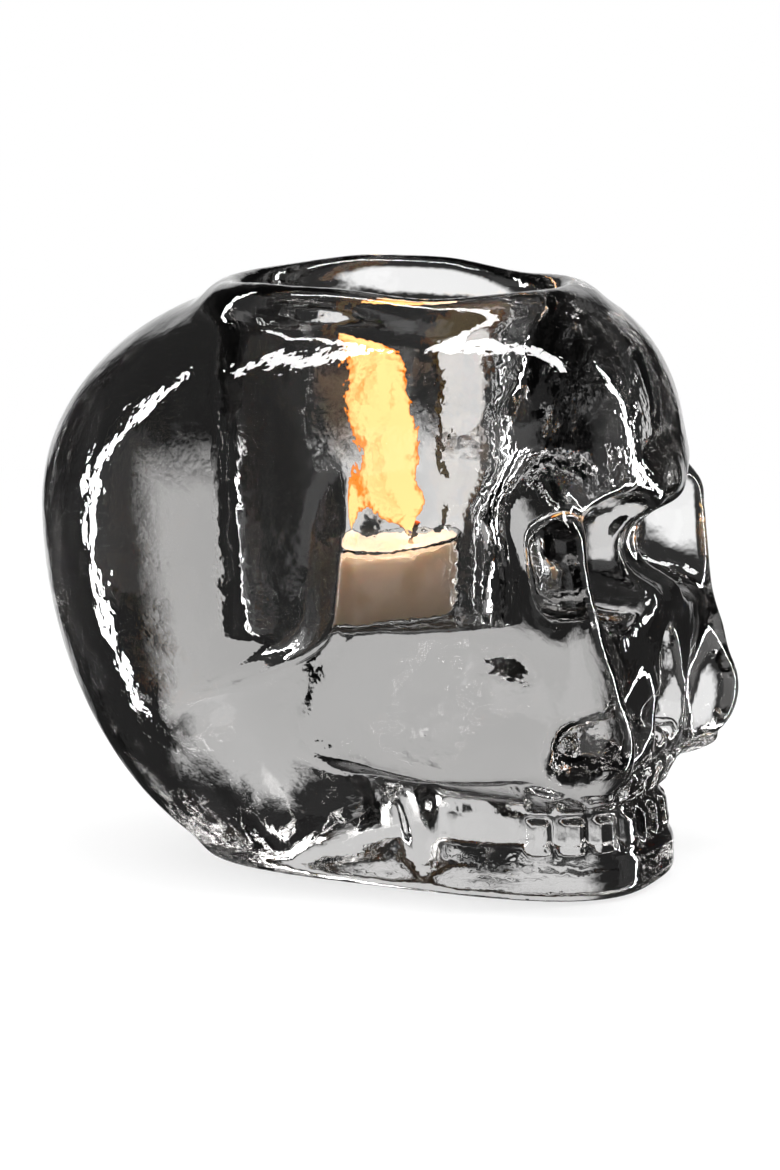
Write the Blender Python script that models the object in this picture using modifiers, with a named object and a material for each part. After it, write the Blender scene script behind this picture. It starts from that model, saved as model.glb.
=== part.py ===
"""Skull-shaped candle holder of heavy smoked glass, with a cup candle standing in its well.

Units are metres, +Z is up and the face looks along -Y. The origin lies on the base plane, under the
middle of the candle well. The glass is one pressed piece: an outer form of vault, face, jaw and foot,
with an open well sunk into it from above. The cup, wax, wick and wick holder are separate pieces.
"""

import math

import bmesh
import bpy
import numpy as np

COLLECTION = "skull_candle_holder"

# Vault: the egg of the cranium, the crown that carries the rim, and the block of the forehead
VAULT_CENTRE = (0.0, 0.0162, 0.0688)
VAULT_HALF_WIDTH = 0.0460
VAULT_HALF_LENGTH = 0.0564
VAULT_RISE = 0.0448
VAULT_DROP = 0.0738
VAULT_POWER = 2.0
CROWN_CENTRE = (0.0, 0.0090, 0.0720)
CROWN_RADII = (0.0405, 0.0380, 0.0415)
CROWN_POWER = 2.7
CROWN_BLEND = 0.006
FOREHEAD_CENTRE = (0.0, -0.0142, 0.0730)
FOREHEAD_RADII = (0.0380, 0.0398, 0.0424)
FOREHEAD_POWER = 2.6
FOREHEAD_BLEND = 0.006

# Face block: the flat front of the face, leaning back a little towards the brow
FACE_CENTRE = (0.0, -0.0243, 0.0495)
FACE_RADII = (0.0350, 0.0302, 0.0325)
FACE_POWER = 3.3
FACE_LEAN = 0.10
FACE_BLEND = 0.006

# Jaw: a block that narrows towards the chin, on a foot with the same outline
JAW_FRONT = -0.0520
JAW_BACK = 0.0374
JAW_HALF_WIDTH = 0.0228
JAW_TAPER = -0.1590
JAW_LEAN = 0.1303
JAW_POWER = 3.0
JAW_TOP = 0.0320
JAW_ROUNDING = 0.0060
JAW_BLEND = 0.0040
FOOT_STEP = 0.0009
FOOT_HEIGHT = 0.0091
FOOT_BLEND = 0.0030
BASE_ROUNDING = 0.0032

# Cheekbones, the arches behind them and the brow
CHEEK_CENTRE = (0.0290, -0.0489, 0.0330)
CHEEK_RADII = (0.0087, 0.0095, 0.0108)
CHEEK_BLEND = 0.008
ARCH_CENTRE = (0.0310, -0.0200, 0.0400)
ARCH_RADII = (0.0090, 0.0340, 0.0165)
ARCH_BLEND = 0.003
BROW_INNER = (0.0, -0.0505, 0.0785)
BROW_OUTER = (0.0290, -0.0400, 0.0780)
BROW_RADII = (0.0050, 0.0050)
BROW_BLEND = 0.010
PILLAR_FOOT = (0.0300, -0.0479, 0.0460)
PILLAR_HEAD = (0.0335, -0.0450, 0.0700)
PILLAR_RADII = (0.0050, 0.0045)
PILLAR_BLEND = 0.007
BRIDGE_TOP = (0.0, -0.0400, 0.0680)
BRIDGE_TIP = (0.0, -0.0480, 0.0520)
BRIDGE_RADII = (0.0045, 0.0040)
BRIDGE_BLEND = 0.004

# Hollows of the face: sockets, the dip above the nose, the nose opening and the hollows beside it
SOCKET_CENTRE = (0.0180, -0.0530, 0.0655)
SOCKET_RADII = (0.0128, 0.0170, 0.0120)
SOCKET_POWER = 2.3
SOCKET_DROOP = math.radians(10)
SOCKET_BLEND = 0.0035
DIP_CENTRE = (0.0, -0.0570, 0.0660)
DIP_RADII = (0.0090, 0.0120, 0.0085)
DIP_BLEND = 0.004
NOSE_WING_CENTRE = (0.0034, -0.0560, 0.0340)
NOSE_WING_RADII = (0.0042, 0.0085, 0.0065)
NOSE_PEAK_CENTRE = (0.0, -0.0560, 0.0420)
NOSE_PEAK_RADII = (0.0046, 0.0080, 0.0080)
NOSE_BLEND = 0.0020
HOLLOW_CENTRE = (0.0190, -0.0590, 0.0350)
HOLLOW_RADII = (0.0085, 0.0085, 0.0110)
HOLLOW_BLEND = 0.0040
TEMPLE_CENTRE = (0.0455, -0.0260, 0.0670)
TEMPLE_RADII = (0.0120, 0.0170, 0.0130)
TEMPLE_BLEND = 0.0060

# Side relief: the vault stands proud of the temple and the arch behind a step that runs from the ear
TEMPLE_INSET = 0.0040
TEMPLE_STEP_WIDTH = 0.0050
EAR = (0.0260, 0.0375)
STEP_CORNER = (0.0000, 0.0500)
STEP_TOP = (-0.0035, 0.0780)
STEP_FADE = 0.0160
STEP_GROOVE_DEPTH = 0.0010
STEP_GROOVE_WIDTH = 0.0050

# Jaw branch: the ridge down from the ear, and the one where the rows of teeth begin
BRANCH_TOP = (0.0345, 0.0240, 0.0320)
BRANCH_FOOT = (0.0175, 0.0140, 0.0060)
BRANCH_RADIUS = 0.0045
GUM_TOP = (0.0265, -0.0110, 0.0260)
GUM_FOOT = (0.0222, -0.0150, 0.0070)
GUM_RADIUS = 0.0030
RIDGE_BLEND = 0.004

# Teeth: two rows of rounded blocks round the jaw
TEETH_TURN_RADIUS = 1.2 * JAW_HALF_WIDTH
TOOTH_WIDTH = 0.0066
TEETH_PER_SIDE = 7
TEETH_BACK = -0.0335
TOOTH_BULGE = 0.0014
TOOTH_GAP = 0.0011
TEETH_BOTTOM = 0.0088
BITE_HEIGHT = 0.0168
TEETH_TOP = 0.0244

# Well for the candle, open at the top, and the lip round it. Each fall of the lip is how far it comes
# down, the distance from the axis to the middle of the slope, and how long the slope is
WELL_FLOOR = 0.0485
RIM_HEIGHT = 0.1150
WELL_TOP_HALF_WIDTH = 0.0245
WELL_TOP_HALF_LENGTH = 0.0310
WELL_FLOOR_HALF_LENGTH = 0.0275
WELL_RIM_POWER = 2.2
WELL_BODY_POWER = 3.8
WELL_SQUARE_FROM = 0.0140
WELL_SQUARE_DEPTH = 0.0180
WELL_EGG = 0.12
WELL_FILLET = 0.0025
LIP_ROUNDING = 0.0028
LIP_RADIUS = 0.0032
LIP_OFFSET = 0.0027
LIP_BLEND = 0.0050
LIP_FALL_TO_BACK = (0.0030, 0.0290, 0.0240)
LIP_FALL_TO_FACE = (0.0024, 0.0080, 0.0240)

# Candle: a clear cup of wax with a cotton wick in a stamped metal holder
SEAT_GAP = 0.0003
CUP_RADIUS = 0.0193
CUP_HEIGHT = 0.0160
CUP_WALL = 0.0009
CUP_ROUNDING = 0.0012
WAX_BELOW_RIM = 0.0022
WAX_MENISCUS = 0.0006
WAX_POOL_RADIUS = 0.0120
WAX_POOL_DEPTH = 0.0010
HOLDER_RADIUS = 0.0070
HOLDER_THICKNESS = 0.0005
NECK_WALL = 0.0005
NECK_HEIGHT = 0.0040
WICK_RADIUS = 0.0008
WICK_ABOVE_WAX = 0.0075
WICK_BEND = 0.0020
WICK_POINTS = 12

# Heights of the candle, stacked up from the well's floor
CUP_FOOT = WELL_FLOOR + SEAT_GAP
WAX_BOTTOM = CUP_FOOT + CUP_WALL + SEAT_GAP
WAX_TOP = CUP_FOOT + CUP_HEIGHT - WAX_BELOW_RIM

# The well's floor takes the cup with this much room, inside the fillet
CUP_CLEARANCE = 0.0016
WELL_FLOOR_HALF_WIDTH = CUP_RADIUS + CUP_CLEARANCE + WELL_FILLET

# Mesh of the glass: a net over the cells that the surface runs through, thinned to its share of triangles
NET_CELL = 0.00135
NET_ROOM = 0.0080
NET_HIGH = (VAULT_HALF_WIDTH + NET_ROOM, VAULT_CENTRE[1] + VAULT_HALF_LENGTH + NET_ROOM, RIM_HEIGHT + NET_ROOM)
NET_LOW = (-NET_HIGH[0], -0.0645, -0.0040)
REST_STEPS = 6
LAST_STEPS = 3
EVENING = 0.5
SLOPE_STEP = 0.00005
LEAST_STEEPNESS = 0.10
LONGEST_STEP = 0.0010
GLASS_TRIANGLES = 12400

ROUND_SEGMENTS = 48
CORNER_POINTS = 4
MERGE_DISTANCE = 1e-5
SHARP_ANGLE = math.radians(35)


def clear_scene():
    """Empties the file of its objects."""
    for obj in list(bpy.data.objects):
        bpy.data.objects.remove(obj)


def material(name, colour, roughness, metallic=0.0, transmission=0.0):
    """A Principled material with one colour."""
    made = bpy.data.materials.new(name)
    made.use_nodes = True
    shader = made.node_tree.nodes["Principled BSDF"]
    shader.inputs["Base Color"].default_value = (*colour, 1.0)
    shader.inputs["Roughness"].default_value = roughness
    shader.inputs["Metallic"].default_value = metallic
    shader.inputs["Transmission Weight"].default_value = transmission
    made.diffuse_color = (*colour, 1.0)
    return made


# Distances: each form is a function that is negative inside it and about the distance outside it


def blob(p, centre, radii, power=2.0):
    """A rounded block about a centre: an ellipsoid at power 2, and squarer above it."""
    offsets = [axis - middle for axis, middle in zip(p, centre)]
    shares = [np.abs(offset) / radius for offset, radius in zip(offsets, radii)]
    level = sum(share**power for share in shares) ** (1.0 / power)
    level = np.maximum(level, 1e-6)
    span = np.sqrt(sum(offset**2 for offset in offsets))
    return span * (1.0 - 1.0 / level)


def bar(p, start, end, start_radius, end_radius):
    """A round bar between two points, with a radius at each end."""
    along = [e - s for s, e in zip(start, end)]
    length_squared = sum(step**2 for step in along)
    offsets = [axis - s for axis, s in zip(p, start)]
    share = sum(offset * step for offset, step in zip(offsets, along)) / length_squared
    share = np.clip(share, 0.0, 1.0)
    gaps = [offset - share * step for offset, step in zip(offsets, along)]
    return np.sqrt(sum(gap**2 for gap in gaps)) - (start_radius + share * (end_radius - start_radius))


def join(a, b, blend):
    """Both forms, run together over the blend's width."""
    overlap = np.maximum(blend - np.abs(a - b), 0.0) / blend
    return np.minimum(a, b) - overlap**2 * blend / 4.0


def carve(a, b, blend):
    """The first form without the second, with a rounded edge."""
    return -join(-a, b, blend)


def ramp(distance, width):
    """0 to 1 as the distance crosses zero, smoothly over the width."""
    share = np.clip(distance / width + 0.5, 0.0, 1.0)
    return share * share * (3.0 - 2.0 * share)


def plan_outline(x, y, half_width, half_length, power):
    """Distance in plan to a rounded rectangle about the origin."""
    level = ((np.abs(x) / half_width) ** power + (np.abs(y) / half_length) ** power) ** (1.0 / power)
    level = np.maximum(level, 1e-6)
    return np.sqrt(x**2 + y**2) * (1.0 - 1.0 / level)


def temple_step(p):
    """Distance behind and above the temple's step, and how strong the step is at each place."""
    x, y, z = p
    rise = (STEP_CORNER[1] - EAR[1]) / (STEP_CORNER[0] - EAR[0])
    above = (z - EAR[1] - (y - EAR[0]) * rise) / math.hypot(1.0, rise)
    lean = (STEP_TOP[0] - STEP_CORNER[0]) / (STEP_TOP[1] - STEP_CORNER[1])
    behind = (y - STEP_CORNER[0] - (z - STEP_CORNER[1]) * lean) / math.hypot(1.0, lean)
    fade = ramp(STEP_TOP[1] - z, STEP_FADE) * ramp(EAR[0] - y, STEP_FADE)
    side = ramp(x - VAULT_HALF_WIDTH / 2.0, VAULT_HALF_WIDTH / 2.0)
    return join(above, behind, TEMPLE_STEP_WIDTH), fade * side


def vault(p):
    """The cranium with its crown and forehead, and the temple's step in its sides."""
    drop = np.where(p[2] > VAULT_CENTRE[2], VAULT_RISE, VAULT_DROP)
    form = blob(p, VAULT_CENTRE, (VAULT_HALF_WIDTH, VAULT_HALF_LENGTH, drop), VAULT_POWER)
    form = join(form, blob(p, CROWN_CENTRE, CROWN_RADII, CROWN_POWER), CROWN_BLEND)
    form = join(form, blob(p, FOREHEAD_CENTRE, FOREHEAD_RADII, FOREHEAD_POWER), FOREHEAD_BLEND)
    step, strength = temple_step(p)
    form = form + TEMPLE_INSET * ramp(-step, TEMPLE_STEP_WIDTH) * strength
    form = form + STEP_GROOVE_DEPTH * np.exp(-((step / (STEP_GROOVE_WIDTH / 2.0)) ** 2)) * strength
    return carve(form, blob(p, TEMPLE_CENTRE, TEMPLE_RADII), TEMPLE_BLEND)


def rim_half_width(y):
    """Half the well's width at the rim, an egg with its narrow end to the face."""
    return WELL_TOP_HALF_WIDTH * (1.0 + WELL_EGG * np.clip(y / WELL_TOP_HALF_LENGTH, -1.0, 1.0))


def well_outline(x, y):
    """Distance in plan to the well's outline at the rim."""
    return plan_outline(x, y, rim_half_width(y), WELL_TOP_HALF_LENGTH, WELL_RIM_POWER)


def lip_fall(y, fall, middle, width):
    """How far the lip has come down at y: a fall spread over a width about its middle."""
    return fall * ramp(y - middle, width)


def lip(p):
    """The rounded lip round the opening, a little lower at the back and over the forehead."""
    crest = RIM_HEIGHT - LIP_RADIUS - lip_fall(p[1], *LIP_FALL_TO_BACK) - lip_fall(-p[1], *LIP_FALL_TO_FACE)
    return np.hypot(well_outline(p[0], p[1]) - LIP_OFFSET, p[2] - crest) - LIP_RADIUS


def jaw_outline(x, y):
    """Distance in plan to the jaw's outline, which narrows towards the chin."""
    centre = (JAW_FRONT + JAW_BACK) / 2.0
    half_length = (JAW_BACK - JAW_FRONT) / 2.0
    half_width = JAW_HALF_WIDTH * (1.0 + JAW_TAPER * np.clip((y - centre) / half_length, -1.0, 1.0))
    return plan_outline(x, y - centre, half_width, half_length, JAW_POWER)


def face(p):
    """Face block, jaw, cheekbones, arches, brow and nose bridge."""
    leaned = (p[0], p[1] - FACE_LEAN * (p[2] - FACE_CENTRE[2]), p[2])
    form = blob(leaned, FACE_CENTRE, FACE_RADII, FACE_POWER)
    form = join(form, blob(p, CHEEK_CENTRE, CHEEK_RADII), CHEEK_BLEND)
    form = join(form, blob(p, ARCH_CENTRE, ARCH_RADII), ARCH_BLEND)
    jaw = carve(jaw_outline(p[0], p[1] - JAW_LEAN * p[2]), JAW_TOP - p[2], JAW_ROUNDING)
    form = join(form, jaw, JAW_BLEND)
    form = join(form, bar(p, BRANCH_TOP, BRANCH_FOOT, BRANCH_RADIUS, BRANCH_RADIUS), RIDGE_BLEND)
    form = join(form, bar(p, GUM_TOP, GUM_FOOT, GUM_RADIUS, GUM_RADIUS), RIDGE_BLEND)
    form = join(form, bar(p, PILLAR_FOOT, PILLAR_HEAD, *PILLAR_RADII), PILLAR_BLEND)
    form = join(form, bar(p, BROW_INNER, BROW_OUTER, *BROW_RADII), BROW_BLEND)
    return join(form, bar(p, BRIDGE_TOP, BRIDGE_TIP, *BRIDGE_RADII), BRIDGE_BLEND)


def socket(p):
    """The eye socket, drooping to the outside."""
    across, rise = p[0] - SOCKET_CENTRE[0], p[2] - SOCKET_CENTRE[2]
    cosine, sine = math.cos(SOCKET_DROOP), math.sin(SOCKET_DROOP)
    turned_p = (
        SOCKET_CENTRE[0] + across * cosine - rise * sine,
        p[1],
        SOCKET_CENTRE[2] + across * sine + rise * cosine,
    )
    return blob(turned_p, SOCKET_CENTRE, SOCKET_RADII, SOCKET_POWER)


def tooth_relief(p):
    """How far the teeth stand out, from 0 in the gaps to 1 on a crown."""
    x, y, z = p
    along = np.arctan2(x, JAW_FRONT + TEETH_TURN_RADIUS - y) * TEETH_TURN_RADIUS
    place = np.abs(along / TOOTH_WIDTH % 1.0 - 0.5) * TOOTH_WIDTH
    crown = ramp(TOOTH_WIDTH / 2.0 - TOOTH_GAP - place, 2.0 * TOOTH_GAP)
    row = ramp(TEETH_PER_SIDE * TOOTH_WIDTH - along, TOOTH_GAP)
    inside = np.minimum(np.abs(z - BITE_HEIGHT), np.minimum(TEETH_TOP - z, z - TEETH_BOTTOM))
    return crown * row * ramp(inside - TOOTH_GAP, 2.0 * TOOTH_GAP) * ramp(TEETH_BACK - y, TOOTH_GAP * 2.0)


def outer_form(p):
    """The whole outside of the glass, without the well."""
    form = join(vault(p), face(p), FACE_BLEND)
    form = join(form, lip(p), LIP_BLEND)
    form = form - TOOTH_BULGE * tooth_relief(p)
    form = carve(form, blob(p, DIP_CENTRE, DIP_RADII), DIP_BLEND)
    form = carve(form, socket(p), SOCKET_BLEND)
    form = carve(form, blob(p, NOSE_WING_CENTRE, NOSE_WING_RADII), NOSE_BLEND)
    form = carve(form, blob(p, NOSE_PEAK_CENTRE, NOSE_PEAK_RADII), NOSE_BLEND)
    form = carve(form, blob(p, HOLLOW_CENTRE, HOLLOW_RADII), HOLLOW_BLEND)
    foot = carve(jaw_outline(p[0], p[1]) - FOOT_STEP, FOOT_HEIGHT - p[2], BASE_ROUNDING)
    form = join(form, foot, FOOT_BLEND)
    return carve(form, p[2], BASE_ROUNDING)


def well(p):
    """The candle well, which narrows towards its floor and is squarer below its rim."""
    share = (p[2] - WELL_FLOOR) / (RIM_HEIGHT - WELL_FLOOR)
    half_width = WELL_FLOOR_HALF_WIDTH + share * (rim_half_width(p[1]) - WELL_FLOOR_HALF_WIDTH)
    half_length = WELL_FLOOR_HALF_LENGTH + share * (WELL_TOP_HALF_LENGTH - WELL_FLOOR_HALF_LENGTH)
    square = ramp(RIM_HEIGHT - WELL_SQUARE_FROM - p[2], WELL_SQUARE_DEPTH)
    power = WELL_RIM_POWER + square * (WELL_BODY_POWER - WELL_RIM_POWER)
    wall = plan_outline(p[0], p[1], half_width, half_length, power)
    return carve(wall, p[2] - WELL_FLOOR, WELL_FILLET)


def glass(points):
    """Distance to the glass from an array of points, the same on both sides of the face."""
    p = (np.abs(points[..., 0]), points[..., 1], points[..., 2])
    return carve(outer_form(p), well(p), LIP_ROUNDING)


# Net: one vertex in each cell that the surface runs through, and one quad across each edge it crosses


def net_corners(cell):
    """The corners of the cells, an even number of steps from side to side, with the glass's distance."""
    counts = [2 * math.ceil((high - low) / cell / 2.0) for low, high in zip(NET_LOW, NET_HIGH)]
    axes = [low + np.arange(count) * cell for low, count in zip(NET_LOW, counts)]
    axes[0] = (np.arange(counts[0]) - (counts[0] - 1) / 2.0) * cell
    return np.stack(np.meshgrid(*axes, indexing="ij"), -1)


def joined_corners(inside):
    """The inside corners, with each square filled where only two corners across from each other are in."""
    while True:
        filled = inside.copy()
        for axis in range(3):
            flat, out = np.moveaxis(inside, axis, 0), np.moveaxis(filled, axis, 0)
            near, far = flat[:, :-1, :-1], flat[:, 1:, 1:]
            left, right = flat[:, 1:, :-1], flat[:, :-1, 1:]
            crossed = (near == far) & (left == right) & (near != left)
            for rows in (slice(None, -1), slice(1, None)):
                for columns in (slice(None, -1), slice(1, None)):
                    out[:, rows, columns] |= crossed
        if (filled == inside).all():
            return inside
        inside = filled


def net_vertices(corners, inside):
    """The number of each cell's vertex, -1 where the surface misses the cell, and the vertices' points."""
    shape = [count - 1 for count in inside.shape]
    held = np.zeros(shape, int)
    for corner in np.ndindex(2, 2, 2):
        held += inside[tuple(slice(step, step + count) for step, count in zip(corner, shape))]
    crossed = (held > 0) & (held < 8)
    numbers = np.full(shape, -1)
    numbers[crossed] = np.arange(crossed.sum())
    half_cell = (corners[1, 1, 1] - corners[0, 0, 0]) / 2.0
    return numbers, corners[:-1, :-1, :-1][crossed] + half_cell


def net_quads(numbers, inside):
    """The four vertices round each edge with one end inside the glass, wound to face out."""
    quads = []
    for axis in range(3):
        turned_inside = np.moveaxis(inside, axis, 0)
        cells = np.moveaxis(numbers, axis, 0)
        if axis == 1:
            turned_inside, cells = turned_inside.swapaxes(1, 2), cells.swapaxes(1, 2)
        first = turned_inside[:-1, 1:-1, 1:-1]
        second = turned_inside[1:, 1:-1, 1:-1]
        around = np.stack([cells[:, :-1, :-1], cells[:, 1:, :-1], cells[:, 1:, 1:], cells[:, :-1, 1:]], -1)
        quads.append(around[first & ~second])
        quads.append(around[~first & second][:, ::-1])
    return np.concatenate(quads)


def onto_glass(points):
    """The points moved along the distance's slope to the surface of the glass."""
    steps = np.eye(3) * SLOPE_STEP
    slope = np.stack([glass(points + step) - glass(points - step) for step in steps], -1)
    slope = slope / (2.0 * SLOPE_STEP)
    steepness = np.maximum((slope**2).sum(-1, keepdims=True), LEAST_STEEPNESS)
    move = slope * glass(points)[..., None] / steepness
    length = np.maximum(np.linalg.norm(move, axis=-1, keepdims=True), 1e-9)
    return points - move * np.minimum(1.0, LONGEST_STEP / length)


def evened(points, quads):
    """Each point moved part of the way to the middle of its neighbours."""
    sums = np.zeros_like(points)
    counts = np.zeros(len(points))
    for ahead in (1, 3):
        np.add.at(sums, quads, points[np.roll(quads, ahead, axis=1)])
        np.add.at(counts, quads, 1.0)
    return points + EVENING * (sums / counts[:, None] - points)


def glass_net(cell):
    """Points on the glass and the quads between them, for cells of that size."""
    corners = net_corners(cell)
    inside = joined_corners(glass(corners) < 0.0)
    numbers, points = net_vertices(corners, inside)
    quads = net_quads(numbers, inside)
    for _ in range(REST_STEPS):
        points = onto_glass(evened(points, quads))
    for _ in range(LAST_STEPS):
        points = onto_glass(points)
    return points, quads


def build_glass(collection, finish):
    """The skull: the net over the glass, thinned to its share of triangles."""
    points, quads = glass_net(NET_CELL)
    mesh = bpy.data.meshes.new("skull_glass")
    mesh.from_pydata(points.tolist(), [], quads.tolist())
    obj = place(collection, "skull_glass", mesh, finish)
    thin = obj.modifiers.new("thin", "DECIMATE")
    thin.ratio = GLASS_TRIANGLES / (2.0 * len(quads))
    thin.use_symmetry = True
    thin.symmetry_axis = "X"
    return obj


def place(collection, name, mesh, finish):
    """An object for the mesh, shaded smooth, in the collection."""
    mesh.materials.append(finish)
    mesh.shade_smooth()
    mesh.set_sharp_from_angle(angle=SHARP_ANGLE)
    obj = bpy.data.objects.new(name, mesh)
    collection.objects.link(obj)
    return obj


def turned(collection, name, profile, finish):
    """A round piece: the Screw turns its profile, which ends on the axis or closes on itself."""
    mesh = bpy.data.meshes.new(name)
    links = [(i, i + 1) for i in range(len(profile) - 1)]
    if profile[0][0] > 0.0:
        links.append((len(profile) - 1, 0))
    mesh.from_pydata([(radius, 0.0, height) for radius, height in profile], links, [])
    obj = place(collection, name, mesh, finish)
    screw = obj.modifiers.new("turn", "SCREW")
    screw.steps = ROUND_SEGMENTS
    screw.render_steps = ROUND_SEGMENTS
    screw.use_merge_vertices = True
    screw.merge_threshold = MERGE_DISTANCE
    screw.use_smooth_shade = True
    return obj


def rounded_corner(radius, height, rounding):
    """Points of a quarter circle up from the bottom of a corner at that radius and height."""
    turns = np.radians(np.linspace(-90.0, 0.0, CORNER_POINTS))
    centre = (radius - rounding, height + rounding)
    return [(centre[0] + rounding * math.cos(t), centre[1] + rounding * math.sin(t)) for t in turns]


def build_cup(collection, finish):
    """The clear cup, standing on the well's floor."""
    foot = CUP_FOOT
    rim = foot + CUP_HEIGHT
    floor = foot + CUP_WALL
    inside = CUP_RADIUS - CUP_WALL
    inner_rounding = CUP_ROUNDING - CUP_WALL / 2.0
    profile = [(0.0, floor), *rounded_corner(inside, floor, inner_rounding)]
    profile += [(inside, rim), (CUP_RADIUS, rim)]
    profile += list(reversed(rounded_corner(CUP_RADIUS, foot, CUP_ROUNDING)))
    profile.append((0.0, foot))
    return turned(collection, "candle_cup", profile, finish)


def build_wax(collection, finish):
    """The wax that fills the cup, round the wick and its holder."""
    bottom, top = WAX_BOTTOM, WAX_TOP
    side = CUP_RADIUS - CUP_WALL - SEAT_GAP
    plate_top = bottom + HOLDER_THICKNESS + SEAT_GAP
    neck = WICK_RADIUS + SEAT_GAP + NECK_WALL
    neck_top = bottom + NECK_HEIGHT + SEAT_GAP
    profile = [
        (WICK_RADIUS + SEAT_GAP, top - WAX_POOL_DEPTH),
        (WAX_POOL_RADIUS, top - WAX_POOL_DEPTH / 2.0),
        (side - WAX_MENISCUS, top),
        (side, top + WAX_MENISCUS),
        *reversed(rounded_corner(side, bottom, CUP_ROUNDING - CUP_WALL / 2.0)),
        (HOLDER_RADIUS + SEAT_GAP, bottom),
        (HOLDER_RADIUS + SEAT_GAP, plate_top),
        (neck + SEAT_GAP, plate_top),
        (neck + SEAT_GAP, neck_top),
        (WICK_RADIUS + SEAT_GAP, neck_top),
    ]
    return turned(collection, "candle_wax", profile, finish)


def build_holder(collection, finish):
    """The stamped plate with a neck that holds the wick upright."""
    bottom = WAX_BOTTOM
    bore = WICK_RADIUS + SEAT_GAP
    profile = [
        (bore, bottom + NECK_HEIGHT),
        (bore + NECK_WALL, bottom + NECK_HEIGHT),
        (bore + NECK_WALL, bottom + HOLDER_THICKNESS),
        (HOLDER_RADIUS, bottom + HOLDER_THICKNESS),
        (HOLDER_RADIUS, bottom),
        (bore, bottom),
    ]
    return turned(collection, "wick_holder", profile, finish)


def build_wick(collection, finish):
    """The cotton wick, upright in the wax with its tip bent over."""
    straight = WAX_TOP - WAX_BOTTOM
    curve = bpy.data.curves.new("wick", "CURVE")
    curve.dimensions = "3D"
    curve.bevel_depth = WICK_RADIUS
    curve.bevel_resolution = 2
    curve.use_fill_caps = True
    spline = curve.splines.new("POLY")
    spline.points.add(WICK_POINTS - 1)
    for index, point in enumerate(spline.points):
        share = index / (WICK_POINTS - 1)
        rise = share * (straight + WICK_ABOVE_WAX)
        beyond = max(0.0, rise - straight) / WICK_ABOVE_WAX
        point.co = (0.0, -WICK_BEND * beyond**2, WAX_BOTTOM + rise, 1.0)
    curve.materials.append(finish)
    obj = bpy.data.objects.new("wick", curve)
    collection.objects.link(obj)
    return obj


def main():
    clear_scene()
    collection = bpy.data.collections.new(COLLECTION)
    bpy.context.scene.collection.children.link(collection)
    build_glass(collection, material("smoked_glass", (0.30, 0.30, 0.31), 0.03, transmission=0.9))
    build_cup(collection, material("clear_plastic", (0.90, 0.90, 0.90), 0.08, transmission=0.9))
    build_wax(collection, material("white_wax", (0.92, 0.88, 0.80), 0.45))
    build_holder(collection, material("tinned_steel", (0.66, 0.66, 0.67), 0.30, metallic=1.0))
    build_wick(collection, material("waxed_cotton", (0.20, 0.17, 0.14), 0.80))


main()
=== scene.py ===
"""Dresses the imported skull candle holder: pressed smoked glass, a lit cup candle and a pale stage.

Units are metres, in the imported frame: +Z is up and the face looks along -Y. The glass follows the same
forms as the part, finer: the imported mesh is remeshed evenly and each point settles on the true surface.
"""

import math

import bmesh
import bpy
import numpy as np
from mathutils import Matrix, Vector


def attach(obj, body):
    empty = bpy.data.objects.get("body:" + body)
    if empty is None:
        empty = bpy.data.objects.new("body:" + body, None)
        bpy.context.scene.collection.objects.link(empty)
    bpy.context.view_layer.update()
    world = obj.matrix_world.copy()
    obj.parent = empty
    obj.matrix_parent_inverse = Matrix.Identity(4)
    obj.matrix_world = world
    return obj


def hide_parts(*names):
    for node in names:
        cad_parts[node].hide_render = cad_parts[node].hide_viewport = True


bl_info = {
    "name": "Skull Candle Holder",
    "version": (1, 0, 0),
    "blender": (4, 5, 0),
    "location": "View3D > Sidebar > Candle Holder",
    "description": "Dresses the glass skull and its cup candle, and sets the stage round them",
    "category": "Object",
}

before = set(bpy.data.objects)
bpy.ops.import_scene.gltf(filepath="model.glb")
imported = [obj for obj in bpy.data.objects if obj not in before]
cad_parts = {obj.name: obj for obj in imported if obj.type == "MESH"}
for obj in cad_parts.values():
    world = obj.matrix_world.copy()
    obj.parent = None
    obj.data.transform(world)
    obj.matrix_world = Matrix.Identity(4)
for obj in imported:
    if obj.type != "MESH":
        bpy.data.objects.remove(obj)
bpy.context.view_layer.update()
BODY = "root"

# Vault: the egg of the cranium, the crown that carries the rim, and the block of the forehead
VAULT_CENTRE = (0.0, 0.0162, 0.0688)
VAULT_HALF_WIDTH = 0.0460
VAULT_HALF_LENGTH = 0.0564
VAULT_RISE = 0.0448
VAULT_DROP = 0.0738
VAULT_POWER = 2.0
CROWN_CENTRE = (0.0, 0.0090, 0.0720)
CROWN_RADII = (0.0405, 0.0380, 0.0415)
CROWN_POWER = 2.7
CROWN_BLEND = 0.006
FOREHEAD_CENTRE = (0.0, -0.0142, 0.0730)
FOREHEAD_RADII = (0.0380, 0.0398, 0.0424)
FOREHEAD_POWER = 2.6
FOREHEAD_BLEND = 0.006

# Face block: the flat front of the face, leaning back a little towards the brow
FACE_CENTRE = (0.0, -0.0243, 0.0495)
FACE_RADII = (0.0350, 0.0302, 0.0325)
FACE_POWER = 3.3
FACE_LEAN = 0.10
FACE_BLEND = 0.006

# Jaw: a block that narrows towards the chin, on a foot with the same outline
JAW_FRONT = -0.0520
JAW_BACK = 0.0374
JAW_HALF_WIDTH = 0.0228
JAW_TAPER = -0.1590
JAW_LEAN = 0.1303
JAW_POWER = 3.0
JAW_TOP = 0.0320
JAW_ROUNDING = 0.0060
JAW_BLEND = 0.0040
FOOT_STEP = 0.0009
FOOT_HEIGHT = 0.0091
FOOT_BLEND = 0.0030
BASE_ROUNDING = 0.0032

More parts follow.
